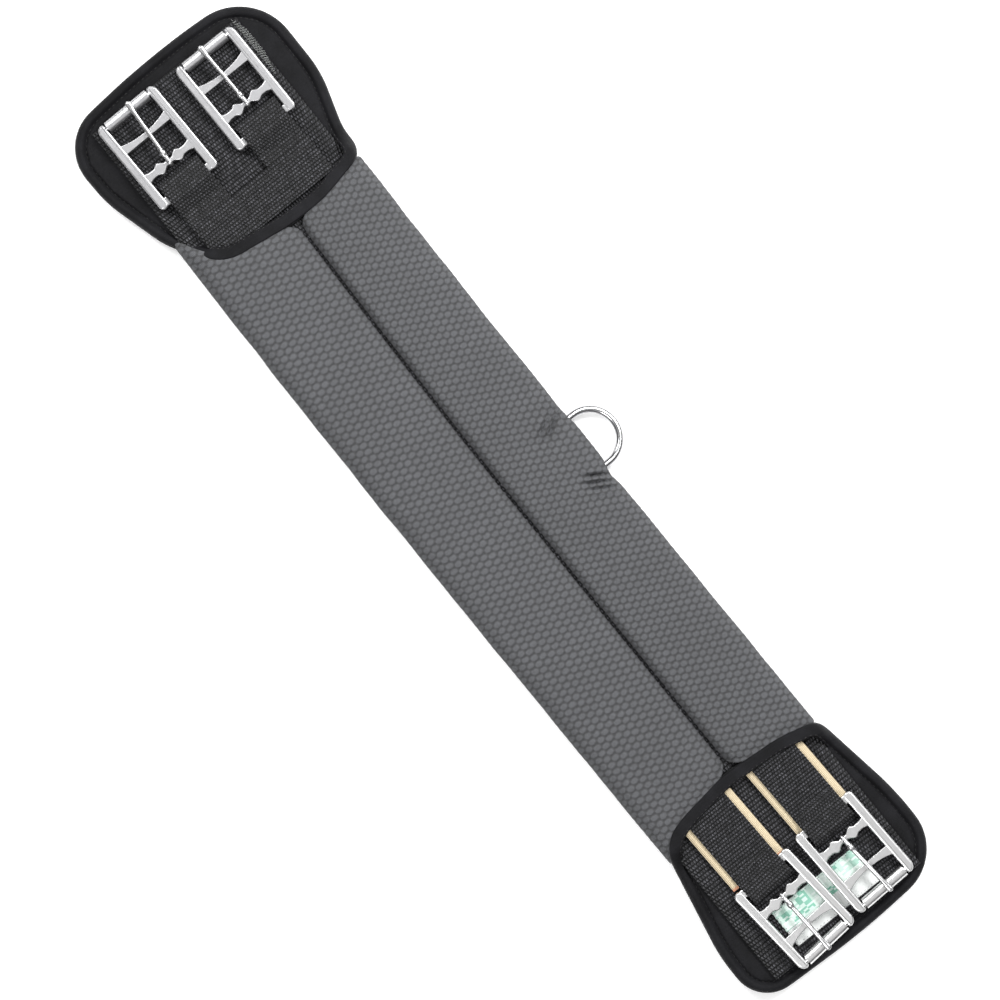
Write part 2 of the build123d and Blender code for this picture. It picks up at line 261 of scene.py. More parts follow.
# Each corner: in from the outer edge or back from the inner crown, across, and radius, in mm.
plain_outline = (
    (("outer", 5.5), -68.3, 27), (("outer", 0.0), 2.0, 400), (("outer", 4.5), 71.2, 34),
    (("outer", 66.0), 70.6, 60), (("inner", 24.7), 60.2, 25), (("inner", 7.0), 60.5, 11),
    (("inner", 0.0), 27.0, 50), (("inner", 0.8), 2.0, 60), (("inner", 5.1), -27.0, 40),
    (("inner", 7.7), -38.6, 22), (("inner", 36.0), -56.8, 40), (("inner", 74.2), -67.3, 60),
)
elastic_outline = (
    (("outer", 3.0), -66.3, 21), (("outer", 0.0), 5.0, 400), (("outer", 3.7), 67.0, 30),
    (("outer", 50.2), 67.2, 150), (("inner", 9.0), 58.3, 10), (("inner", 2.8), 34.0, 50),
    (("inner", 0.0), -2.0, 60), (("inner", 4.2), -34.0, 50), (("inner", 9.7), -52.0, 20),
    (("inner", 77.2), -66.0, 90),
)


def to_object(bm, name, finish, smooth=True):
    """A finished mesh as an object at the origin."""
    mesh = bpy.data.meshes.new(name)
    bm.to_mesh(mesh)
    bm.free()
    mesh.materials.append(finish)
    mesh.polygons.foreach_set("use_smooth", [smooth] * len(mesh.polygons))
    thing = bpy.data.objects.new(name, mesh)
    scene.collection.objects.link(thing)
    return thing


def add_subdivision(thing, levels=1):
    """Round off a mesh, the same on screen as in a render."""
    rounder = thing.modifiers.new("rounder", "SUBSURF")
    rounder.levels = rounder.render_levels = levels


def thicken(thing, wall, offset=0):
    """Give a sheet its thickness, half to each side unless an offset moves it."""
    made = thing.modifiers.new("thick", "SOLIDIFY")
    made.thickness = wall
    made.offset = offset


def recalculate(bm):
    bmesh.ops.recalc_face_normals(bm, faces=bm.faces)


def step_in(bm, face, distance):
    """Shrink a face by a distance, and leave a ring of faces round it."""
    bmesh.ops.inset_region(
        bm, faces=[face], thickness=distance, use_even_offset=True, use_boundary=True
    )


def pour(source, target):
    """Move everything in one mesh into another."""
    carrier = bpy.data.meshes.new("carrier")
    source.to_mesh(carrier)
    source.free()
    target.from_mesh(carrier)
    bpy.data.meshes.remove(carrier)


def rounded_face(corners, z, arc_step, edge_step=None):
    """A new mesh that holds one flat face facing up, each of its corners (x, y, radius)
    rounded and its straight sides cut to even steps."""
    bm = bmesh.new()
    verts = [bm.verts.new((x, y, z)) for x, y, radius in corners]
    bm.faces.new(verts)
    for vert, (x, y, radius) in zip(verts, corners):
        before, after = (edge.other_vert(vert).co - vert.co for edge in vert.link_edges)
        turn = math.pi - before.angle(after)
        bmesh.ops.bevel(
            bm, geom=[vert], offset=radius * math.tan(turn / 2),
            segments=max(2, round(radius * turn / arc_step)), profile=0.5,
            affect="VERTICES", material=-1,
        )
    if edge_step:
        for edge in bm.edges[:]:
            cuts = int(edge.calc_length() / edge_step)
            if cuts:
                bmesh.ops.subdivide_edges(bm, edges=[edge], cuts=cuts)
    bm.normal_update()
    face = bm.faces[:][0]
    if face.normal.z < 0:
        bmesh.ops.reverse_faces(bm, faces=[face])
    return bm


class Pad:
    """The outline of one end pad, and where things lie along and across it."""

    def __init__(self, name, side, outline):
        low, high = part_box(f"{name}_pad_binding")
        self.name, self.side = name, side
        self.outer = high.x if side > 0 else low.x
        self.crown = low.x if side > 0 else high.x
        self.corners = []
        for (origin, inboard), y, radius in outline:
            start, way = (self.outer, -side) if origin == "outer" else (self.crown, side)
            self.corners.append((start + way * inboard * MM, y * MM, radius * MM))
        inner_half = 38 * MM
        bm = self.face(0)
        self.edge = sorted(
            (v.co.y, v.co.x) for v in bm.verts if (v.co.x - self.crown) * side < inner_half
        )
        bm.free()

    def face(self, z):
        """A new mesh that holds the outline as one flat face."""
        return rounded_face(self.corners, z, 3.5 * MM, 4.5 * MM)

    def bridging(self, point):
        """1 where the binding is the band over the webbing, 0 along the rolled edge."""
        back = (point.x - self.crown) * self.side / MM
        reach = 1 - smooth_step(*zone_back, back)
        across = 1 - smooth_step(*zone_side, abs(point.y - 1.5 * MM) / MM)
        return reach * across

    def inner_x(self, y):
        """Where the inner edge of the outline lies at a place across."""
        for (y0, x0), (y1, x1) in zip(self.edge, self.edge[1:]):
            if y0 <= y <= y1:
                return x0 + (x1 - x0) * (y - y0) / max(y1 - y0, 1e-9)
        return self.edge[0][1] if y < self.edge[0][0] else self.edge[-1][1]


def smooth_step(low, high, value):
    """0 below low, 1 above high, and a smooth turn between them."""
    t = min(max((value - low) / (high - low), 0), 1)
    return t * t * (3 - 2 * t)


pads = (Pad("plain", -1, plain_outline), Pad("elastic", 1, elastic_outline))


def jersey_finish(name, dark, light):
    """Smooth knitted jersey: fine courses, a soft sheen and faint dusty patches."""
    finish, shade = new_finish(name)
    point, (x, y, _) = shade.places()
    patches = shade.grain(point, 55.0, 4.0)
    fine = shade.grain(point, 1500.0, 2.0)
    courses = (x * (2 * math.pi / 0.0011)).sine() * (y * (2 * math.pi / 0.0009)).sine()
    colour = shade.tint(patches.smooth(0.3, 0.75), (dark, dark, dark * 1.2, 1),
                        (light, light, light * 1.2, 1))
    height = courses * 0.35 + fine
    set_surface(
        finish, base_color=colour, roughness=0.6 + 0.25 * fine, sheen_weight=0.02,
        sheen_roughness=0.4, specular_ior_level=0.16, normal=shade.bump(height, 0.45, 0.0005),
    )
    return finish


binding_finish = jersey_finish("binding_jersey", 0.0035, 0.0095)
facing_finish = jersey_finish("pad_jersey", 0.003, 0.008)


def binding_ring(pad, under):
    """One half of the rolled edge, as rings stepped in from the outline."""
    middle = bead_height / 2
    bm = pad.face(middle)
    face = bm.faces[:][0]
    if under:
        bmesh.ops.reverse_faces(bm, faces=[face])
    previous = 0.0
    for step in range(1, binding_rings + 1):
        share = step / binding_rings
        inset = binding_width * (1 - math.cos(math.pi * share)) / 2
        step_in(bm, face, inset - previous)
        previous = inset
        round_in = 1 - abs(2 * min(inset / (0.86 * binding_width), 1) - 1) ** 2.4
        bead = middle * round_in ** 0.5 + (0 if under else -0.25 * MM * share)
        for vert in face.verts:
            rise = bead
            if share > 0.78:
                rise = max(bead, middle - (lip_under if under else lip_over))
            if under:
                vert.co.z = middle - rise
                continue
            flat = bridge_height - middle - 1.1 * MM * abs(2 * share - 1.0) ** 5
            if step == binding_rings:
                flat = band_foot - middle
            over = pad.bridging(vert.co)
            wobble = 0.25 * MM * noise.noise(vert.co * 70)
            vert.co.z = middle + rise * (1 - over) + flat * over + wobble * (1 - share)
    bmesh.ops.delete(bm, geom=[face], context="FACES_ONLY")
    return bm


for pad in pads:
    ring = binding_ring(pad, False)
    pour(binding_ring(pad, True), ring)
    bmesh.ops.remove_doubles(ring, verts=ring.verts, dist=1e-6)
    rims = [edge for edge in ring.edges if edge.is_boundary]
    bmesh.ops.bridge_loops(ring, edges=rims)
    recalculate(ring)
    binding = to_object(ring, f"{pad.name}_binding", binding_finish)
    add_subdivision(binding)
    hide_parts(f"{pad.name}_pad_binding")
    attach(binding, "root")

    for part, level, way in (("facing", facing_level, 1), ("lining", lining_level, -1)):
        sheet = pad.face(level)
        face = sheet.faces[:][0]
        step_in(sheet, face, face_inset)
        outside = [f for f in sheet.faces if f is not face]
        bmesh.ops.delete(sheet, geom=outside, context="FACES")
        for axis, reach in ((Vector((1, 0, 0)), 0.33), (Vector((0, 1, 0)), 0.08)):
            for step in range(int(-reach / face_grid), int(reach / face_grid) + 1):
                everything = sheet.verts[:] + sheet.edges[:] + sheet.faces[:]
                bmesh.ops.bisect_plane(sheet, geom=everything, plane_co=axis * step * face_grid,
                                       plane_no=axis)
        for vert in sheet.verts:
            vert.co.z += way * 0.5 * MM * noise.noise(vert.co * 45)
        wall = to_object(sheet, f"{pad.name}_{part}", facing_finish)
        thicken(wall, jersey_thick)
        add_subdivision(wall)
        low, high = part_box(f"{pad.name}_pad_{part}")
        size = high - low
        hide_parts(f"{pad.name}_pad_{part}")
        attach(wall, "root")

# ---------------------------------------------------------------- outer cover
# One blank of neoprene faced with a knitted lozenge fabric, wrapped right round the core
# and the webbing. Its two edges butt a little to the ring's side, and their corners are
# rounded off where they run under the pads' bands.
cover_half = 55.9 * MM
cover_top = 15.9 * MM
cover_wall = 3.4 * MM
nose_radius = 5.2 * MM
slit_half = 0.9 * MM
crown_rise = 1.9 * MM
end_sink = 1.6 * MM
corner_cut = 13.0 * MM
rim_reach = 54.0 * MM
side_start = 47 * MM
ring_middle, ring_room = 5.8 * MM, 19 * MM
dip_middle, dip_half = 28 * MM, 6 * MM
ring_swell = 1.3 * MM
fold_depth = 2.1 * MM
knit_x, knit_y = 4.15 * MM, 8.25 * MM
knit_depth = 0.24 * MM


def body_bend(x):
    """The body lies a little bowed across the girth."""
    return (2.0 if x < 0 else 0.8) * MM * (x / 0.2) ** 2


def slit_y(x):
    """Where the butted edges meet, a little out of true along the body."""
    return 3.7 * MM + 4.2 * MM * max(-x / 0.19, 0) ** 1.6


def cover_section(count):
    """Points round the wrap from slit to slit: across, height, and length round so far."""
    nose_r, side_r = nose_radius, cover_top / 2
    flat = cover_half - side_r - nose_r - slit_half
    lengths = (
        ("nose", nose_r * math.pi / 2), ("top", flat), ("side", side_r * math.pi),
        ("under", 2 * (cover_half - side_r)), ("side2", side_r * math.pi), ("top2", flat),
        ("nose2", nose_r * math.pi / 2),
    )
    total = sum(length for _, length in lengths)
    points = []
    for i in range(count + 1):
        s = total * i / count
        for name, length in lengths:
            if s <= length or name == "nose2":
                break
            s -= length
        t = min(s / length, 1)
        if name in ("nose", "nose2"):
            t = t if name == "nose" else 1 - t
            y = slit_half + nose_r * (1 - math.cos(t * math.pi / 2))
            z = cover_top - nose_r * (1 - math.sin(t * math.pi / 2))
        elif name in ("top", "top2"):
            t = t if name == "top" else 1 - t
            y, z = slit_half + nose_r + flat * t, cover_top
        elif name in ("side", "side2"):
            t = t if name == "side" else 1 - t
            y = cover_half - side_r + side_r * math.sin(t * math.pi)
            z = side_r + side_r * math.cos(t * math.pi)
        else:
            y, z = (cover_half - side_r) * (1 - 2 * t), 0
        sign = -1 if name in ("side2", "top2", "nose2") else 1
        points.append((sign * y, z, total * i / count))
    return points


def knit_relief(x, s):
    """0 in the valleys between the lozenges of the knit, 1 on their tops."""
    p, q = 2 * math.pi * x / knit_x, 2 * math.pi * s / knit_y
    return smooth_step(-1.3, 0.5, math.cos(p + q) + math.cos(p - q) + 0.8 * math.cos(2 * q))


def leg_folds(x, y):
    """Folds that spread from the ring's two legs, and the fabric drawn flat between them."""
    lift = 0.0
    # each fold: from a place to a place in mm, and its share of the depth
    for x0, y0, x1, y1, deep in (
        (-17, 54, -10, 41, 1.3), (-20, 52, -13, 37, 0.9), (27, 54, 21, 44, 1.3),
        (30, 52, 24, 41, 1.0), (34, 51, 28, 41, 0.8), (-25, 53, -19, 44, 0.5),
    ):
        run = Vector((x1 - x0, y1 - y0))
        off = Vector((x / MM - x0, y / MM - y0))
        t = off.dot(run) / run.length_squared
        side = (off.x * run.y - off.y * run.x) / run.length
        fade = smooth_step(-0.45, 0.0, t) * (1 - smooth_step(0.7, 1.5, t))
        lift += fade * fold_depth * deep * (
            -math.exp(-(side / 1.0) ** 2) + 0.55 * math.exp(-((abs(side) - 2.4) / 1.2) ** 2)
        )
    return lift


rows, columns = 300, 430
section = cover_section(rows)
cover_bm = bmesh.new()
uv_layer = cover_bm.loops.layers.uv.new("wrap")
bmesh.ops.create_grid(cover_bm, x_segments=columns, y_segments=rows, size=0.5)
cover_bm.verts.ensure_lookup_table()
for vert in cover_bm.verts:
    along, row = vert.co.x + 0.5, round((vert.co.y + 0.5) * rows)
    sy, z, s = section[row]
    ends = []
    for pad in pads:
        x = pad.inner_x(max(-rim_reach, min(rim_reach, sy)))
        near = abs(sy) / corner_cut
        if z > 9 * MM and near < 1:
            x -= pad.side * corner_cut * (1 - math.sqrt(1 - (1 - near) ** 2)) * 0.8
        tuck = 0.4 * MM - end_sink * smooth_step(8 * MM, 13 * MM, z)
        ends.append(x - pad.side * tuck)
    x = ends[0] + (ends[1] - ends[0]) * along
    top = smooth_step(7 * MM, 10 * MM, z)
    bend, slit = body_bend(x), slit_y(x)
    across = sy + bend + (slit - bend) * top * (1 - abs(sy) / cover_half)
    edge = min(x - ends[0], ends[1] - x)
    end_drop = 1 - smooth_step(0, 7 * MM, edge)
    # each half is crowned, and the knit fades towards the slit and the ends
    share = min(abs(sy) / cover_half, 1)
    pillow = crown_rise * math.sin(math.pi * share) ** 0.7 - 0.6 * MM
    pillow += 0.35 * MM * noise.noise(Vector((x * 30, across * 40, 3.0)))
    calm = smooth_step(3 * MM, 9 * MM, abs(sy)) * smooth_step(0, 5 * MM, edge)
    relief = knit_depth * (knit_relief(x, s) - 0.7) * (0.3 + 0.7 * calm)
    height = z
    if z > 2 * MM:
        height += top * (pillow + relief + leg_folds(x, across)) - top * end_sink * end_drop
    if abs(sy) > side_start:  # the side bulges behind the ring and dips beyond its far leg
        near_ring = math.exp(-(((x - ring_middle) / ring_room) ** 4))
        dip = math.exp(-(((x - dip_middle) / dip_half) ** 2))
        swell = ring_swell * (near_ring - dip)
        swell *= smooth_step(side_start, 54 * MM, sy)
        swell += 0.35 * MM * noise.noise(Vector((x * 60, sy * 10, 1.0)))
        across += swell
        inward = relief * (1 - top) * smooth_step(0, 3 * MM, z)
        across += inward if sy > 0 else -inward
    vert.co = (x, across, height)
for face in cover_bm.faces:
    for loop in face.loops:
        row = loop.vert.index // (columns + 1)
        loop[uv_layer].uv = (loop.vert.co.x, section[row][2])
cover_bm.normal_update()
cover_bm.faces.ensure_lookup_table()
if cover_bm.faces[columns * (rows // 2)].normal.z > 0:  # the underside has to face down
    bmesh.ops.reverse_faces(cover_bm, faces=cover_bm.faces)


def knit_finish():
    """Grey knit with painted shade: dark in the valleys round each lozenge and between the yarns,
    pale on the ribbed yarn on top; and a soft sheen.
    """
    finish, shade = new_finish("lozenge_knit")
    _, (u, v, _) = shade.places("wrap")
    point, _ = shade.places()
    fine = shade.grain(point, 1300.0, 3.0, 0.7)
    ragged = shade.grain(point, 330.0, 3.0, 0.7)
    p = (u + ragged * (1.7 * MM)) * (2 * math.pi / knit_x)
    q = (v + fine * (0.6 * MM) + ragged * (1.2 * MM)) * (2 * math.pi / knit_y)
    waves = (p + q).cosine() + (p - q).cosine() + (q * 2.0).cosine() * 0.8
    hills = waves.smooth(-1.35, 0.3)
    courses = (u * (2 * math.pi / (0.9 * MM))).sine() * 0.5 + 0.5
    wales = (v * (2 * math.pi / (0.75 * MM))).sine() * 0.5 + 0.5
    yarn = courses * wales
    cloudy = shade.grain(point, 35.0, 4.0)
    # painted shade: the colour darkens in the lozenges' valleys and between the yarns, following
    # the bump's hills and yarn
    mask = (0.30 + 0.70 * hills) * (0.35 + 1.1 * fine) * (0.55 + 0.6 * ragged + 0.35 * cloudy)
    mask = mask * (0.8 + 0.25 * yarn)
    colour = shade.tint(mask, grey(0.030), (0.093, 0.095, 0.102, 1))
    height = hills.power(0.5) + fine * 0.35 + yarn * 0.25
    set_surface(
        finish, base_color=colour, roughness=0.78 + 0.15 * fine, sheen_weight=0.06,
        sheen_roughness=0.4, specular_ior_level=0.3, normal=shade.bump(height, 0.55, 0.0006),
    )
    return finish


cover = to_object(cover_bm, "cover", knit_finish())
thicken(cover, cover_wall, -1)
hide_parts("outer_cover")
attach(cover, "root")

# ---------------------------------------------------------------- main webbing
# The strong webbing that carries the load from end to end. It is a coarse black weave with
# ribs across it, laid flat on the core and the pads, and bare at both ends.
def webbing_finish(name, dark, light, rib):
    """Black polyester webbing: thick ribs across it, bundled yarns and a dry sheen, with
    highlights painted pale on the rib tops, knots and flecks, and painted shade between the ribs.
    """
    finish, shade = new_finish(name)
    _, (u, v, _) = shade.places("weave")
    point, _ = shade.places()
    fine = shade.grain(point, 1700.0, 2.0, 0.6)
    dust_and_glint = shade.grain(point, 60.0, 4.0)
    turn = (u * (math.pi / rib)).sine()
    blotch = shade.grain(point, 420.0, 3.0, 0.7)
    knots = (v * (2 * math.pi / (1.7 * MM))).sine() * turn
    knots = (knots * 0.5 + 0.5).power(1.4)
    ribs = turn.absolute()
    # painted highlights and shade: the colour is near black between the ribs and pale on rib tops,
    # knots and flecks, stronger in broad random patches
    fleck = blotch.smooth(0.38, 0.66) * fine.smooth(0.3, 0.7)
    mask = ribs.smooth(0.25, 1.0) * (0.06 + 0.94 * knots) * (0.25 + 1.3 * fleck)
    mask = mask * (0.5 + 1.0 * dust_and_glint)
    height = ribs.power(0.6) * 0.8 + knots * 1.3 + fine * 0.4
    set_surface(
        finish, base_color=shade.tint(mask, grey(dark), (light, light, light * 1.12, 1)),
        roughness=0.42 + 0.3 * fine, sheen_weight=0.03, sheen_roughness=0.4,
        specular_ior_level=0.34, normal=shade.bump(height, 1.0, 0.0006),
    )
    return finish


main_rib = 2.4 * MM
strap_rib = 2.0 * MM
# the lighter level, 0.13, is the painted highlight on the black webbing
main_finish = webbing_finish("main_webbing", 0.0012, 0.13, main_rib)
strap_finish = webbing_finish("strap_webbing", 0.0012, 0.13, strap_rib)


def arc_points(middle, start, turn, radius, count=12):
    """Points on an arc in a side plane, from start round by turn, both in degrees."""
    angles = [math.radians(start + turn * i / count) for i in range(count + 1)]
    return [(middle[0] + radius * math.cos(a), middle[1] + radius * math.sin(a)) for a in angles]


def strip(name, path, origin, along, across, width, thick, finish, rib, depth, rows=16,
          step=0.4 * MM, skew=0.0, sag=0.0):
    """Webbing bent along a side view of its middle, with its ribs across it."""
    lengths = [math.dist(a, b) for a, b in zip(path, path[1:])]
    total = sum(lengths)
    count = max(8, round(total / step))
    bm = bmesh.new()
    uv = bm.loops.layers.uv.new("weave")
    bmesh.ops.create_grid(bm, x_segments=count, y_segments=rows, size=0.5)
    up = Vector((0, 0, 1))
    stations = []
    for i in range(count + 1):
        s = min(total * i / count, total - 1e-7)
        run = s
        for (a, b), length in zip(zip(path, path[1:]), lengths):
            if run <= length:
                break
            run -= length
        t = run / length
        place = (a[0] + (b[0] - a[0]) * t, a[1] + (b[1] - a[1]) * t)
        tangent = ((b[0] - a[0]) / length, (b[1] - a[1]) / length)
        stations.append((place, (-tangent[1], tangent[0]), s))
    smoothed = []
    for i in range(count + 1):
        near = [stations[min(max(i + k, 0), count)][1] for k in (-2, -1, 0, 1, 2)]
        normal = Vector((sum(n[0] for n in near), sum(n[1] for n in near))).normalized()
        smoothed.append(normal)
    for vert in bm.verts:
        i, v = round((vert.co.x + 0.5) * count), vert.co.y
        (du, dz), _, s = stations[i]
        n = smoothed[i]
        rib_share = abs(math.sin(math.pi * s / rib)) ** 0.7
        edge = 1 - smooth_step(0.44, 0.5, abs(v)) * 0.9
        lift = depth * (rib_share - 0.5) * edge + sag * noise.noise(Vector((s * 40, v * 3, 5)))
        ragged = 0.18 * MM * math.sin(2 * math.pi * s / rib) * (2 * v) ** 5
        sideways = v * width + ragged + skew * (du - path[0][0])
        vert.co = (
            origin + along * (du + n.x * lift) + up * (dz + n.y * lift) + across * sideways
        )
    for face in bm.faces:
        for loop in face.loops:
            row, i = divmod(loop.vert.index, count + 1)
            loop[uv].uv = (stations[i][2], width * (row / rows - 0.5))
    recalculate(bm)
    cloth = to_object(bm, name, finish)
    thicken(cloth, thick)
    return cloth, total


low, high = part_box("main_webbing")
level = (low.z + high.z) / 2
x_axis, y_axis = Vector((1, 0, 0)), Vector((0, 1, 0))
webbing, length = strip(
    "webbing", [(low.x, level), (high.x, level)], Vector((0, 1.5 * MM, 0)), x_axis, y_axis,
    high.y - low.y, 1.3 * MM, main_finish, main_rib, 0.35 * MM, rows=24, sag=0.25 * MM,
)
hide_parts("main_webbing")
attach(webbing, "root")

# ---------------------------------------------------------------- straps at the plain end
# Each buckle here hangs in one piece of webbing, laid double, folded round the frame's tail
# bar and sewn down to the main webbing with its ends under a shared patch.
class Seat:
    """Where one buckle lies: the middle of its tongue bar, outwards and across."""

    def __init__(self, name, side, turn, yaw, reach):
        heading = math.radians(turn)
        self.name, self.side, self.yaw, self.reach = name, side, yaw, reach * MM
        self.out = Vector((side * math.cos(heading), side * math.sin(heading), 0))
        self.across = Vector((-self.out.y, self.out.x, 0))
        low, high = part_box(f"{name}_buckle_roller")
        self.middle = (low + high) / 2 - self.out * self.reach
        self.level = self.middle.z

    def at(self, u, v=0.0, z=None):
        """A point this far outwards and across, level with the bar unless z is given."""
        place = self.middle + self.out * u + self.across * v
        place.z = self.level if z is None else z
        return place


strap_width = 27.5 * MM
tail_bar = (-16.0 * MM, 15.01 * MM)
wrap_radius = 2.4 * MM
seats = (
    Seat("plain_upper", -1, 0.0, 1.3, 35.9), Seat("plain_lower", -1, 0.6, -4.2, 35.9),
    Seat("elastic_upper", 1, 1.8, 2.6, 34.3), Seat("elastic_lower", 1, 4.5, -1.4, 34.3),
)


def wrapped(start, fold, under, over, fold_end):
    """Side view of webbing that runs to the fold, round the tail bar, and back."""
    u, z = tail_bar
    front = u + 6.6 * MM
    return (
        [(start, under), (fold, under), (u - 4.6 * MM, z - wrap_radius), (front, z - wrap_radius)]
        + arc_points((front, z), -90, 180, wrap_radius)[1:]
        + [(u - 3.6 * MM, z + wrap_radius + 0.3 * MM), (fold - 1.5 * MM, over), (fold_end, over)]
    )


for seat in seats[:2]:
    low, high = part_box(f"{seat.name}_strap")
    inner = (Vector((high.x, seat.middle.y, 0)) - seat.middle).dot(seat.out)
    path = wrapped(inner, -26.5 * MM, low.z + 0.6 * MM, high.z - 0.6 * MM, inner)
    strap, length = strip(
        f"{seat.name}_strap_webbing", path, seat.at(0, 0, 0), seat.out, seat.across,
        strap_width, 0.95 * MM, strap_finish, strap_rib, 0.28 * MM, sag=0.2 * MM,
    )
    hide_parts(f"{seat.name}_strap", f"{seat.name}_strap_loop")
    seat.at(-29.5 * MM)
    seat.at(-25.5 * MM)
    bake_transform(strap)

low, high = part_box("plain_strap_patch")
size = high - low
patch, length = strip(
    "strap_patch", [(low.x, low.z + 0.1 * MM), (low.x + 2.5 * MM, high.z - 0.5 * MM),
                    (high.x - 2 * MM, high.z - 0.5 * MM), (high.x, high.z - 0.8 * MM)],
    Vector((0, (low.y + high.y) / 2, 0)), x_axis, y_axis, size.y, 0.9 * MM,
    strap_finish, 1.6 * MM, 0.22 * MM, rows=40, sag=0.7 * MM,
)
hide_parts("plain_strap_patch")
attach(patch, "root")

# ---------------------------------------------------------------- straps at the elastic end
# A cream woven elastic lets each of these buckles give. Its inner end is sewn down inside a
# fold of black webbing that is narrower than it, so a cream stripe shows on each side, and
# its outer end is sewn to the short webbing that holds the buckle.
elastic_finish, shade = new_finish("woven_elastic")
_, (u, v, _) = shade.places("weave")
point, _ = shade.places()
fine = shade.grain(point, 1500.0, 2.0)
cords = (v * (2 * math.pi / (0.9 * MM))).sine() * 0.5 + 0.5
picks = (u * (2 * math.pi / (0.8 * MM))).sine() * 0.5 + 0.5
mask = (cords * 0.6 + fine * 0.5) * (0.7 + 0.3 * picks)
cream = shade.tint(mask.smooth(0.1, 0.9), (0.42, 0.33, 0.20, 1), (0.76, 0.66, 0.47, 1))
set_surface(
    elastic_finish, roughness=0.75, sheen_weight=0.1,
    base_color=shade.tint(u.smooth(44.5 * MM, 45.5 * MM), cream, (0.62, 0.30, 0.18, 1)),
    normal=shade.bump(cords + picks * 0.4 + fine * 0.3, 0.6, 0.0004),
)

band_length = 46.5 * MM
shear = 0.028

for seat in seats[2:]:
    tab_low, tab_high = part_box(f"{seat.name}_strap_tab")
    low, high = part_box(f"{seat.name}_band")
    middle_y = (low.y + high.y) / 2
    path = [(low.x, high.z - 0.2 * MM), (low.x + band_length, high.z - 0.2 * MM)]
    band, length = strip(
        f"{seat.name}_elastic", path, Vector((0, middle_y - shear * (high.x - low.x), 0)),
        x_axis, y_axis, high.y - low.y, 0.8 * MM, elastic_finish, 0.8 * MM, 0.05 * MM,
        skew=shear, sag=0.15 * MM,
    )
    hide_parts(f"{seat.name}_band")
    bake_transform(band)

    low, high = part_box(f"{seat.name}_strap")
    end = (tab_low.x + tab_high.x) / 2
    under, over = low.z + 0.5 * MM, high.z - 0.5 * MM
    path = ([(end, under), (low.x + 1.8 * MM, under)]
            + arc_points((low.x + 1.8 * MM, (under + over) / 2), -90, -180, (over - under) / 2)
            + [(end + 2.5 * MM, over)])
    black, length = strip(
        f"{seat.name}_strap_webbing", path, Vector((0, middle_y, 0)), x_axis, y_axis,
        strap_width, 0.95 * MM, strap_finish, strap_rib, 0.28 * MM, skew=shear, sag=0.15 * MM,
    )
    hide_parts(f"{seat.name}_strap")
    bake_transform(black)

    inner = (Vector((end, seat.middle.y, 0)) - seat.middle).dot(seat.out)
    path = wrapped(inner, -22.0 * MM, under, over + 0.25 * MM, inner)
    loop, length = strip(
        f"{seat.name}_loop_webbing", path, seat.at(0, 0, 0), seat.out, seat.across,
        strap_width, 0.95 * MM, strap_finish, strap_rib, 0.28 * MM, sag=0.15 * MM,
    )
    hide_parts(f"{seat.name}_strap_tab", f"{seat.name}_strap_loop")
    seat.at(-25 * MM)
    seat.at(-21 * MM)
    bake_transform(loop)

# ---------------------------------------------------------------- buckles
# Cast and tumbled steel frames with a bright plating. Each roller turns on the frame's front
# pin, and the wire tongue is closed round the waist of its bar and beaten flat at the tip.
def metal_finish(name, colour, rough, speckle, brushed, relief):
    """Plated metal with a faint cast skin, fine scratches and duller patches."""
    finish, shade = new_finish(name)
    point, (x, y, z) = shade.places()
    skin = shade.grain(point, 420.0, 3.0, 0.6)
    grit = shade.grain(point, 2600.0, 2.0, 0.5)
    long = shade.node("CombineXYZ", {0: x * 90.0, 1: y * 2600.0, 2: z * 1200.0})
    hair = shade.grain(long, 1.0, 2.0)
    worn = skin.smooth(0.35, 0.75)
    set_surface(
        finish, metallic=1.0, roughness=rough + worn * 0.06 + hair * brushed,
        base_color=shade.tint(worn * 0.4 + grit * speckle, colour + (1,),
                              tuple(c * 0.78 for c in colour) + (1,)),
        normal=shade.bump(skin + hair * brushed, relief, 0.0003),
    )
    return finish


satin = metal_finish("satin_plate", (0.50, 0.50, 0.51), 0.30, 0.25, 0.12, 0.08)
bright = metal_finish("bright_plate", (0.73, 0.73, 0.73), 0.30, 0.15, 0.04, 0.10)
wire_finish = metal_finish("tongue_plate", (0.50, 0.50, 0.505), 0.28, 0.1, 0.02, 0.01)

eye_middle, eye_wire = 2.61 * MM, 1.1 * MM
pin_radius, waist_radius = 1.6 * MM, 1.45 * MM
front_past_pin, tip_past_pin = 3.1 * MM, 4.0 * MM
tongue_radius = 1.3 * MM
tongue_rest = 4.56 * MM
tongue_rings = 64


def mirrored(half):
    """A plan's corners on one side, and the same ones across the buckle's middle."""
    return half + [(u, -v, radius) for u, v, radius in reversed(half)]


def frame_plans(front):
    """A frame's bars: plan corners (outwards, across, radius), thickness, edge rounding."""
    for side in (1, -1):
        yield [(front, side * 15.0, 1.6), (front, side * 20.5, 4.6), (-19.0, side * 20.5, 3.0),
               (-19.0, side * 14.6, 2.6), (-15.0, side * 14.8, 1.2)], 3.2, 1.2
    yield mirrored([(-18.6, 17.2, 1.2), (-13.4, 17.2, 1.2)]), 2.9, 1.0
    lobes = [(3.9, 17.2, 1.2), (2.3, 12.4, 2.6), (2.3, 9.0, 1.6), (4.1, 6.3, 1.7), (1.5, 2.6, 1.0)]
    far = mirrored(lobes)
    yield far + [(-u, v, radius) for u, v, radius in reversed(far)], 3.0, 0.9
    yield [(17.6, 16.8, 0.8), (17.6, -16.8, 0.8), (23.9, -16.8, 0.8), (18.6, 0.0, 42.0),
           (23.9, 16.8, 0.8)], 2.8, 0.45


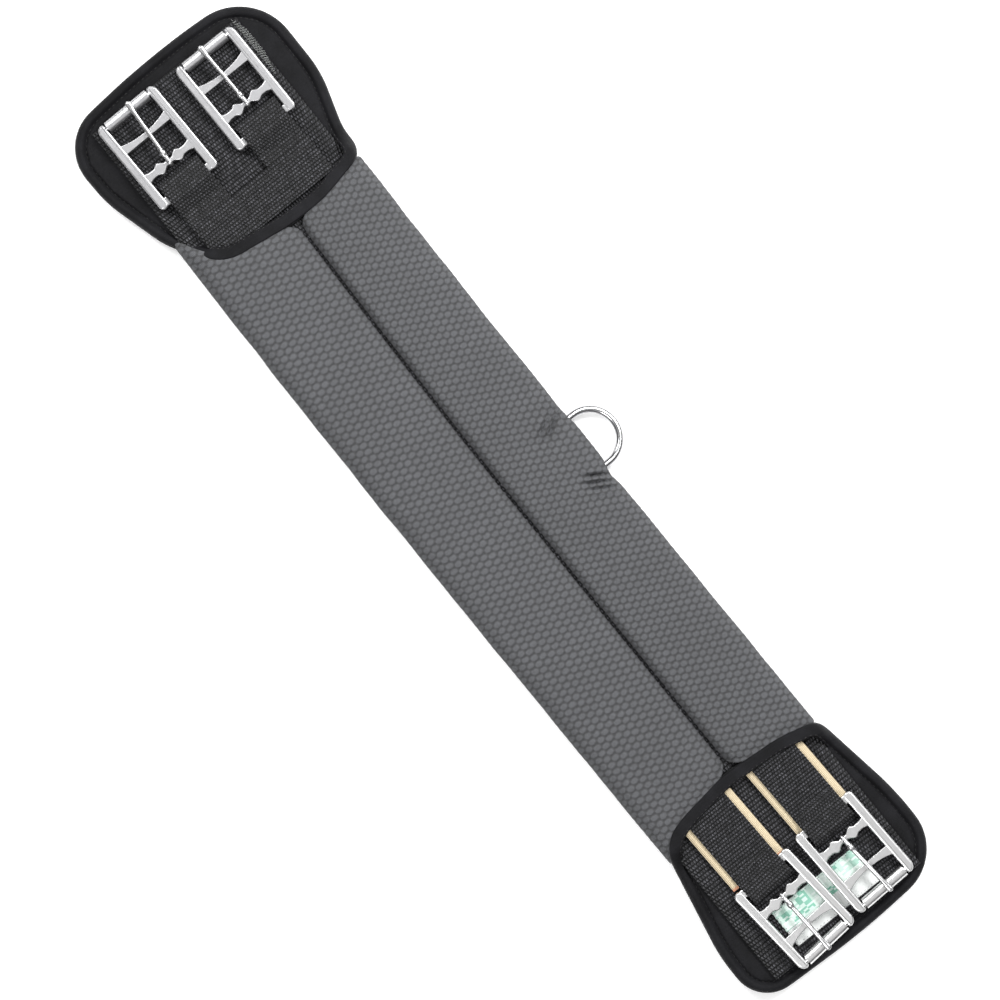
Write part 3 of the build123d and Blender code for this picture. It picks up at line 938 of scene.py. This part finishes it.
def add_plate(bm, corners, thick, rounding):
    """Add one bar of even thickness, its corners rounded in plan and its edges rolled."""
    bar = rounded_face(corners, -thick / 2, 0.8 * MM)
    made = bmesh.ops.extrude_face_region(bar, geom=bar.faces[:])
    lifted = [item for item in made["geom"] if isinstance(item, bmesh.types.BMVert)]
    bmesh.ops.translate(bar, verts=lifted, vec=(0, 0, thick))
    recalculate(bar)
    flats = [edge for edge in bar.edges if abs(edge.verts[0].co.z - edge.verts[1].co.z) < 1e-7]
    bmesh.ops.bevel(bar, geom=flats, offset=rounding, segments=5, profile=0.5,
                    affect="EDGES", material=-1)
    pour(bar, bm)


def refinish(name, finish):
    """Keep a node's own shape under this finish."""
    kept = frame["nodes"][name].data.materials
    kept.clear()
    kept.append(finish)


for seat in seats:
    plate = satin if seat.side < 0 else bright
    refinish(f"{seat.name}_buckle_roller", plate)
    casting = bmesh.new()
    front = (seat.reach + front_past_pin) / MM
    for corners, thick, rounding in frame_plans(front):
        add_plate(casting, [(u * MM, v * MM, radius * MM) for u, v, radius in corners],
                  thick * MM, rounding * MM)
    pin = Matrix.Translation((seat.reach, 0, 0)) @ Matrix.Rotation(math.pi / 2, 4, "X")
    bmesh.ops.create_cone(casting, cap_ends=True, segments=32, radius1=pin_radius,
                          radius2=pin_radius, depth=32 * MM, matrix=pin)
    waist = Matrix.Rotation(math.pi / 2, 4, "X")
    bmesh.ops.create_cone(casting, cap_ends=True, segments=24, radius1=waist_radius,
                          radius2=waist_radius, depth=6 * MM, matrix=waist)
    lay = Matrix((seat.out, seat.across, Vector((0, 0, 1)))).transposed().to_4x4()
    bmesh.ops.transform(casting, verts=casting.verts, matrix=Matrix.Translation(seat.middle) @ lay)
    recalculate(casting)
    buckle = to_object(casting, f"{seat.name}_frame", plate)
    evened = buckle.modifiers.new("evened", "WEIGHTED_NORMAL")
    evened.weight = 100
    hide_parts(f"{seat.name}_buckle_frame")
    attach(buckle, f"{seat.name}_buckle")

    turned = math.radians(seat.yaw)
    heading = seat.out * math.cos(turned) + seat.across * math.sin(turned)
    foot = seat.middle + Vector((0, 0, eye_middle))
    rest = seat.middle + heading * seat.reach + Vector((0, 0, tongue_rest))
    slope = (rest - foot).normalized()
    shank = seat.reach + tip_past_pin
    bm = bmesh.new()
    bmesh.ops.create_circle(bm, segments=24, radius=tongue_radius)
    bmesh.ops.spin(bm, geom=bm.verts[:] + bm.edges[:], cent=(0, 0, 0), axis=(0, 0, 1),
                   dvec=(0, 0, shank / tongue_rings), angle=0, steps=tongue_rings)
    ends = [edge for edge in bm.edges if edge.is_boundary]
    bmesh.ops.holes_fill(bm, edges=ends, sides=0)
    for vert in bm.verts:
        s = vert.co.z
        collar = math.exp(-(((s - 5.6 * MM) / (1.5 * MM)) ** 4)) * 0.42
        neck = -0.12 * (1 - smooth_step(0, 4 * MM, s))
        flat = smooth_step(shank - 9 * MM, shank - 2.5 * MM, s)
        tip = 1 - 0.75 * smooth_step(shank - 1.2 * MM, shank, s) ** 2
        grow = (1 + collar + neck) * tip
        vert.co.x *= grow * (1 + 0.32 * flat)
        vert.co.y *= grow * (1 - 0.30 * flat)
    side = Vector((0, 0, 1)).cross(slope).normalized()
    top = slope.cross(side)
    turn = Matrix((side, top, slope)).transposed().to_4x4()
    start = Matrix.Translation(foot)
    bmesh.ops.transform(bm, matrix=start @ turn, verts=bm.verts)
    ring = bmesh.ops.create_circle(bm, segments=16, radius=eye_wire)["verts"]
    stand = Matrix((seat.across, Vector((0, 0, 1)), seat.out)).transposed().to_4x4()
    squash = Matrix.Diagonal((1.15, 1.0, 1.0, 1.0))
    bmesh.ops.transform(bm, verts=ring, matrix=Matrix.Translation(foot) @ stand @ squash)
    hoop = list({edge for vert in ring for edge in vert.link_edges})
    bmesh.ops.spin(bm, geom=ring + hoop, cent=seat.middle, axis=seat.across,
                   angle=2 * math.pi, steps=32, use_merge=True)
    bmesh.ops.remove_doubles(bm, verts=bm.verts, dist=1e-6)
    recalculate(bm)
    tongue = to_object(bm, f"{seat.name}_tongue", wire_finish)
    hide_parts(f"{seat.name}_buckle_tongue")
    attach(tongue, f"{seat.name}_buckle_tongue")

# ---------------------------------------------------------------- D-ring
# A welded ring of polished chromed wire, held on the ring's side by a fold of webbing that
# is sewn between the cover and the core.
chrome = metal_finish("ring_chrome", (0.40, 0.40, 0.41), 0.17, 0.05, 0.03, 0.02)
refinish("d_ring", chrome)

low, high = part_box("d_ring_tab")
bar_y, bar_z, tab_r = high.y - 3.16 * MM, (low.z + high.z) / 2, 2.6 * MM
path = ([(low.y, bar_z - 0.7 * MM), (bar_y - 4 * MM, bar_z - 0.8 * MM), (bar_y, bar_z - tab_r)]
        + arc_points((bar_y, bar_z), -90, 180, tab_r)
        + [(bar_y - 4 * MM, bar_z + 0.8 * MM), (low.y, bar_z + 0.7 * MM)])
tab, length = strip(
    "ring_tab", path, Vector(((low.x + high.x) / 2, 0, 0)), y_axis, x_axis, high.x - low.x,
    0.9 * MM, strap_finish, strap_rib, 0.15 * MM,
)
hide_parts("d_ring_tab")
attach(tab, "root")

# ---------------------------------------------------------------- label
# A satin-woven label sewn to the webbing under the elastic end's buckles: blocks of pale
# greens with nothing written on them, and a blank pale field.
label_finish, shade = new_finish("label_weave")
_, (u, v, _) = shade.places("weave")


def blocks(along, across):
    """One random level for each block of the weave."""
    cell = shade.node("CombineXYZ", {0: (u / along).floor(), 1: (v / across).floor()})
    return shade.node("TexWhiteNoise", {"Vector": cell}, noise_dimensions="2D")


pick = blocks(4.4 * MM, 7.3 * MM)
fleck = blocks(1.1 * MM, 2.9 * MM)
greens = shade.tint(pick.smooth(0.2, 0.8), (0.18, 0.42, 0.32, 1), (0.62, 0.74, 0.68, 1))
greens = shade.tint(fleck.smooth(0.55, 0.6) * 0.55, greens, (0.80, 0.84, 0.82, 1))
threads = (u * (2 * math.pi / (0.35 * MM))).sine() * (v * (2 * math.pi / (0.35 * MM))).sine()
field = u.smooth(13.4 * MM, 13.6 * MM)
set_surface(
    label_finish, roughness=0.45, sheen_weight=0.2,
    base_color=shade.tint(field, greens, (0.66, 0.68, 0.67, 1)),
    normal=shade.bump(threads, 0.25, 0.0002),
)
low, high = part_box("woven_label")
size = high - low
label, length = strip(
    "label", [(low.x, high.z - 0.1 * MM), (high.x, high.z - 0.1 * MM)],
    Vector((0, (low.y + high.y) / 2, 0)), x_axis, y_axis, size.y, 0.12 * MM, label_finish,
    3.0 * MM, 0.02 * MM, rows=30, sag=0.04 * MM,
)
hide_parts("woven_label")
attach(label, "root")

# ---------------------------------------------------------------- stitching
# Heavy bonded thread, sunk a little into the cloth. Straight rows hold the bindings, the
# straps and the label, and zigzag rows hold the patch over the plain straps' ends.
thread_finish, shade = new_finish("black_thread")
point, _ = shade.places()
set_surface(thread_finish, roughness=0.45, base_color=grey(0.006), specular_ior_level=0.4,
            normal=shade.bump(shade.grain(point, 2200.0), 0.4, 0.0002))
pale_finish, shade = new_finish("pale_fibre")
set_surface(pale_finish, roughness=0.8, base_color=(0.30, 0.31, 0.30, 1))


def height_on(things):
    """The height of the uppermost of these surfaces over any place."""
    graph = bpy.context.evaluated_depsgraph_get()
    trees = [BVHTree.FromObject(thing, graph) for thing in things]

    def height(x, y):
        hits = [tree.ray_cast(Vector((x, y, 0.1)), Vector((0, 0, -1)))[0] for tree in trees]
        levels = [hit.z for hit in hits if hit]
        return max(levels) if levels else None

    return height


def sew(name, routes, height, body, finish=None, pitch=3.1 * MM, length=2.3 * MM,
        thread=0.34 * MM, wander=0.0, sink=0.12 * MM):
    """Stitches at an even pitch along routes of (x, y), laid on a surface. Each leans a
    little, and more with wander."""
    bm = bmesh.new()
    random = Random(name)
    for route in routes:
        left = pitch / 2
        for a, b in zip(route, route[1:]):
            a, b = Vector(a), Vector(b)
            run = (b - a).length
            way = (b - a) / max(run, 1e-9)
            while left < run:
                place = a + way * left
                left += pitch
                lean = random.uniform(-0.1, 0.1) + wander * random.uniform(-1, 1)
                way_now = Matrix.Rotation(lean, 2) @ way
                ends = [place + way_now * length * share for share in (-0.5, 0.5)]
                levels = [height(*end) for end in ends]
                if None in levels:
                    continue
                lift = Vector((*(ends[1] - ends[0]), levels[1] - levels[0]))
                spot = Vector((*place, sum(levels) / 2 - sink))
                turn = lift.to_track_quat("X", "Z").to_matrix().to_4x4()
                size = Matrix.Diagonal((lift.length / 2, thread, thread, 1))
                bmesh.ops.create_icosphere(bm, subdivisions=1, radius=1,
                                           matrix=Matrix.Translation(spot) @ turn @ size)
            left -= run
    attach(to_object(bm, name, finish or thread_finish), body)


def inset_route(pad, inset):
    """The pad's outline stepped in, as a closed route."""
    bm = pad.face(0)
    face = bm.faces[:][0]
    step_in(bm, face, inset)
    route = [(vert.co.x, vert.co.y) for vert in face.verts]
    bm.free()
    return route + route[:1]


objects = bpy.data.objects
for pad in pads:
    binding = objects[f"{pad.name}_binding"]
    facing = objects[f"{pad.name}_facing"]
    over = height_on([binding, facing])
    sew(f"{pad.name}_binding_stitches", [inset_route(pad, binding_width - 1.1 * MM)], over, "root")

bottom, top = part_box("plain_strap_patch")
on_patch = height_on([patch])
zigzag_step, zigzag_half = 2.6 * MM, 1.5 * MM
zigzag = []
for row_x, phase in ((bottom.x + 3.4 * MM, 0), (bottom.x + 7.2 * MM, 1), (top.x - 5 * MM, 0)):
    steps = int((top.y - bottom.y - 5 * MM) / zigzag_step)
    zigzag.append([
        (row_x + (zigzag_half if (i + phase) % 2 else -zigzag_half),
         bottom.y + 2.5 * MM + i * zigzag_step)
        for i in range(steps)
    ])
sew("patch_stitches", zigzag, on_patch, "root", pitch=2.9 * MM, length=2.7 * MM)

for seat in seats[:2]:
    low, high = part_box(f"{seat.name}_strap")
    strap = objects[f"{seat.name}_strap_webbing"]
    edge = strap_width / 2 - 2.2 * MM
    across_rows = [
        [(low.x + d * MM, seat.middle.y - edge), (low.x + d * MM, seat.middle.y + edge)]
        for d in (2.2, 4.6)
    ]
    sew(f"{seat.name}_strap_stitches", across_rows, height_on([strap]), "root")

for seat in seats[2:]:
    tab_low, tab_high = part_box(f"{seat.name}_strap_tab")
    low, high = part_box(f"{seat.name}_strap")
    edge = strap_width / 2 - 2.0 * MM
    spot = (tab_low.y + tab_high.y) / 2
    x = (tab_low.x + tab_high.x) / 2
    rows = [[(x + d * MM, spot - edge), (x + d * MM, spot + edge)] for d in (-1.4, 1.2)]
    over = height_on([objects[f"{seat.name}_strap_webbing"], objects[f"{seat.name}_loop_webbing"]])
    sew(f"{seat.name}_tab_stitches", rows, over, f"{seat.name}_tab")
    rows = [[(low.x + d * MM, spot - edge), (low.x + d * MM, spot + edge)] for d in (3, 6.5)]
    sew(f"{seat.name}_end_stitches", rows, height_on([objects[f"{seat.name}_strap_webbing"]]),
        "root")

low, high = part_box("woven_label")
edges = [(low.x + MM, low.y + MM), (high.x - MM, low.y + MM), (high.x - MM, high.y - MM),
         (low.x + MM, high.y - MM), (low.x + MM, low.y + MM)]
sew("label_stitches", [edges], height_on([label]), "root", pitch=2.4 * MM, length=1.6 * MM,
    thread=0.2 * MM)

low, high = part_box("main_webbing")
fray = [[(low.x + (2 + 3 * d) * MM, high.y + d * MM), (low.x + (34 - 4 * d) * MM, high.y + d * MM)]
        for d in (1.9, 1.3, 0.7, 0.1, -0.5, -1.1)]
sew("frayed_edge", fray, lambda x, y: high.z + 0.35 * MM, "root", pale_finish, pitch=1.5 * MM,
    length=1.7 * MM, thread=0.12 * MM, wander=1.4)

# ---------------------------------------------------------------- hidden foams
# Sponge in the body and in both pads, closed in by their covers and never seen. It keeps
# the plain shape of the solids, under a dull grey finish.
foam_finish, shade = new_finish("sponge")
point, _ = shade.places()
set_surface(foam_finish, base_color=grey(0.03), roughness=0.95,
            normal=shade.bump(shade.grain(point, 900.0), 0.5, 0.0005))
for name in ("foam_core", "plain_pad_foam", "elastic_pad_foam"):
    refinish(name, foam_finish)
